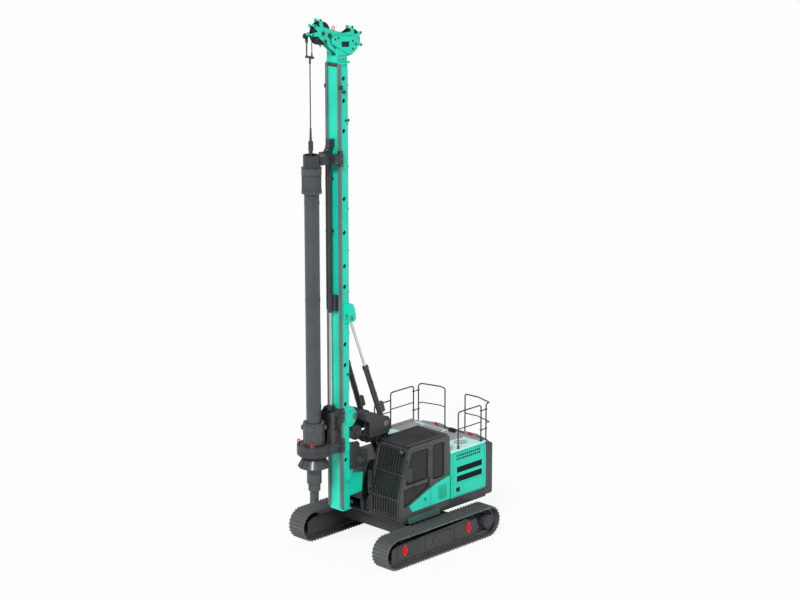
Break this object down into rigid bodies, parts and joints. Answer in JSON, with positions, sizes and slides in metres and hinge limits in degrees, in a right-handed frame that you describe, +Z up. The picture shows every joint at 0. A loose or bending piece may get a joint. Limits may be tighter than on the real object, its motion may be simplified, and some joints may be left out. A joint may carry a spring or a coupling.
{
  "type": "rotary piling rig",
  "caption": "Crawler-mounted rotary piling rig with an upright mast, a kelly bar through a sliding rotary head, and an engine house with a guarded cab.",
  "frame": {"origin": "middle of the bounding box in X and Y, at the ground under the tracks", "axes": "+X forward towards the mast, +Y to the driver's left, +Z up"},
  "size_m": [5.56, 3.37, 13.1023],
  "materials": {
    "clear_glass": "clear",
    "dark_paint": "satin",
    "engine_iron": "cast",
    "green_paint": "gloss",
    "machined_steel": "brushed",
    "pale_deck": "satin",
    "red_paint": "satin",
    "rod_chrome": "polished",
    "rope_steel": "stranded",
    "seat_fabric": "woven",
    "shoe_steel": "worn",
    "step_grey": "matte"
  },
  "bodies": {
    "undercarriage": {"car_body": "dark_paint", "slew_ring": "machined_steel", "track_frame_left": "dark_paint", "track_frame_right": "dark_paint", "track_left": "shoe_steel", "track_right": "shoe_steel", "drive_sprockets": "dark_paint", "idlers": "dark_paint", "tie_down_lugs": "red_paint"},
    "upper_structure": {"upper_frame": "dark_paint", "arm_tower": "dark_paint", "counterweight": "dark_paint", "engine_block": "engine_iron", "house_panels": "green_paint", "engine_hood": "pale_deck", "right_tank": "dark_paint", "side_step": "step_grey", "guard_rails": "dark_paint", "toe_boards": "step_grey", "tail_eyes": "red_paint", "cab_frame": "dark_paint", "cab_glass": "clear_glass", "cab_guard": "dark_paint", "cab_skirt": "green_paint", "mirror_left": "dark_paint", "mirror_right": "dark_paint", "operator_seat": "seat_fabric"},
    "door": {"cab_door": "dark_paint", "door_glass": "clear_glass", "door_skirt": "green_paint"},
    "boom_arm": {"lift_arm": "dark_paint"},
    "boom_link": {"tie_link": "dark_paint"},
    "cradle": {"mast_cradle": "dark_paint"},
    "lift_cylinder": {"lift_barrel": "dark_paint"},
    "lift_piston": {"lift_rod": "rod_chrome"},
    "mast": {"mast_box": "green_paint", "guide_bars": "machined_steel", "mast_head": "green_paint", "winch_mounts": "dark_paint", "winch_box": "green_paint", "crowd_barrel": "dark_paint", "kelly_guide": "dark_paint", "rope_swivel": "machined_steel", "hoist_rope": "rope_steel"},
    "stay_barrel_left": {"stay_barrel_left": "dark_paint"},
    "stay_barrel_right": {"stay_barrel_right": "dark_paint"},
    "stay_rod_left": {"stay_rod_left": "rod_chrome"},
    "stay_rod_right": {"stay_rod_right": "rod_chrome"},
    "rotary_head": {"rotary_carriage": "dark_paint", "rotary_gearbox": "dark_paint", "drive_motors": "dark_paint", "crowd_rod": "rod_chrome", "lifting_eyes": "red_paint"},
    "sleeve": {"drive_sleeve": "dark_paint"},
    "kelly": {"kelly_bar": "dark_paint"},
    "main_drum": {"main_drum": "dark_paint"},
    "aux_drum": {"aux_drum": "dark_paint"},
    "front_sheave": {"front_sheave": "dark_paint"},
    "rear_sheave": {"rear_sheave": "dark_paint"}
  },
  "joints": [
    {"name": "slew", "type": "hinge", "parent": "undercarriage", "child": "upper_structure", "pos_m": [-0.345, 0, 0.8555], "axis": [0, 0, 1], "continuous": true},
    {"name": "cab_door", "type": "hinge", "parent": "upper_structure", "child": "door", "pos_m": [-0.348, 1.214, 1.8], "axis": [0, 0, 1], "range_deg": [0, 95]},
    {"name": "lift_arm", "type": "hinge", "parent": "upper_structure", "child": "boom_arm", "pos_m": [-0.145, 0, 1.62], "axis": [0, 1, 0], "range_deg": [0, 20]},
    {"name": "tie_link", "type": "hinge", "parent": "upper_structure", "child": "boom_link", "pos_m": [-0.485, 0, 1.74], "axis": [0, 1, 0], "range_deg": [-0.5, 20.5]},
    {"name": "cradle_level", "type": "hinge", "parent": "boom_arm", "child": "cradle", "pos_m": [0.355, 0, 2.74], "axis": [0, 1, 0], "range_deg": [-20.5, 0.5]},
    {"name": "lift_barrel_swing", "type": "hinge", "parent": "upper_structure", "child": "lift_cylinder", "pos_m": [0.435, 0, 1.2], "axis": [0, 1, 0], "range_deg": [-0.5, 11.01]},
    {"name": "lift_rod_slide", "type": "slide", "parent": "lift_cylinder", "child": "lift_piston", "axis": [-0.2364, 0, 0.9717], "range_m": [-0.1797, 0.005]},
    {"name": "mast_tilt", "type": "hinge", "parent": "cradle", "child": "mast", "pos_m": [1.215, 0, 3.52], "axis": [0, 1, 0], "range_deg": [-15, 5]},
    {"name": "stay_swing_left", "type": "hinge", "parent": "cradle", "child": "stay_barrel_left", "pos_m": [0.405, 0.342, 3.2], "axis": [0, 1, 0], "range_deg": [-12.78, 4.59]},
    {"name": "stay_slide_left", "type": "slide", "parent": "stay_barrel_left", "child": "stay_rod_left", "axis": [0.3481, -0.0248, 0.9371], "range_m": [-0.1855, 0.0652]},
    {"name": "stay_swing_right", "type": "hinge", "parent": "cradle", "child": "stay_barrel_right", "pos_m": [0.405, -0.342, 3.2], "axis": [0, 1, 0], "range_deg": [-12.78, 4.59]},
    {"name": "stay_slide_right", "type": "slide", "parent": "stay_barrel_right", "child": "stay_rod_right", "axis": [0.3481, 0.0248, 0.9371], "range_m": [-0.1855, 0.0652]},
    {"name": "crowd", "type": "slide", "parent": "mast", "child": "rotary_head", "axis": [0, 0, 1], "range_m": [-0.6, 1.7]},
    {"name": "kelly_spin", "type": "hinge", "parent": "mast", "child": "kelly", "pos_m": [2.375, 0, 5], "axis": [0, 0, 1], "continuous": true},
    {"name": "sleeve_spin", "type": "hinge", "parent": "rotary_head", "child": "sleeve", "pos_m": [2.375, 0, 3], "axis": [0, 0, 1], "continuous": true},
    {"name": "main_winch", "type": "hinge", "parent": "mast", "child": "main_drum", "pos_m": [1.105, 0, 2.42], "axis": [0, 1, 0], "continuous": true},
    {"name": "aux_winch", "type": "hinge", "parent": "mast", "child": "aux_drum", "pos_m": [1.185, 0, 3.1], "axis": [0, 1, 0], "continuous": true},
    {"name": "front_sheave", "type": "hinge", "parent": "mast", "child": "front_sheave", "pos_m": [2.115, 0, 12.765], "axis": [0, 1, 0], "continuous": true},
    {"name": "rear_sheave", "type": "hinge", "parent": "mast", "child": "rear_sheave", "pos_m": [1.167, 0, 12.5], "axis": [0, 1, 0], "continuous": true}
  ],
  "couplings": [
    {"joint": "tie_link", "follows": "lift_arm", "ratio": 1},
    {"joint": "cradle_level", "follows": "lift_arm", "ratio": -1},
    {"joint": "lift_barrel_swing", "follows": "lift_arm", "ratio": 0.5257},
    {"joint": "lift_rod_slide", "follows": "lift_arm", "m_per_rad": -0.5004},
    {"joint": "stay_swing_left", "follows": "mast_tilt", "ratio": 0.81892},
    {"joint": "stay_slide_left", "follows": "mast_tilt", "m_per_rad": 0.68934},
    {"joint": "stay_swing_right", "follows": "mast_tilt", "ratio": 0.81892},
    {"joint": "stay_slide_right", "follows": "mast_tilt", "m_per_rad": 0.68934},
    {"joint": "sleeve_spin", "follows": "kelly_spin", "ratio": 1}
  ]
}
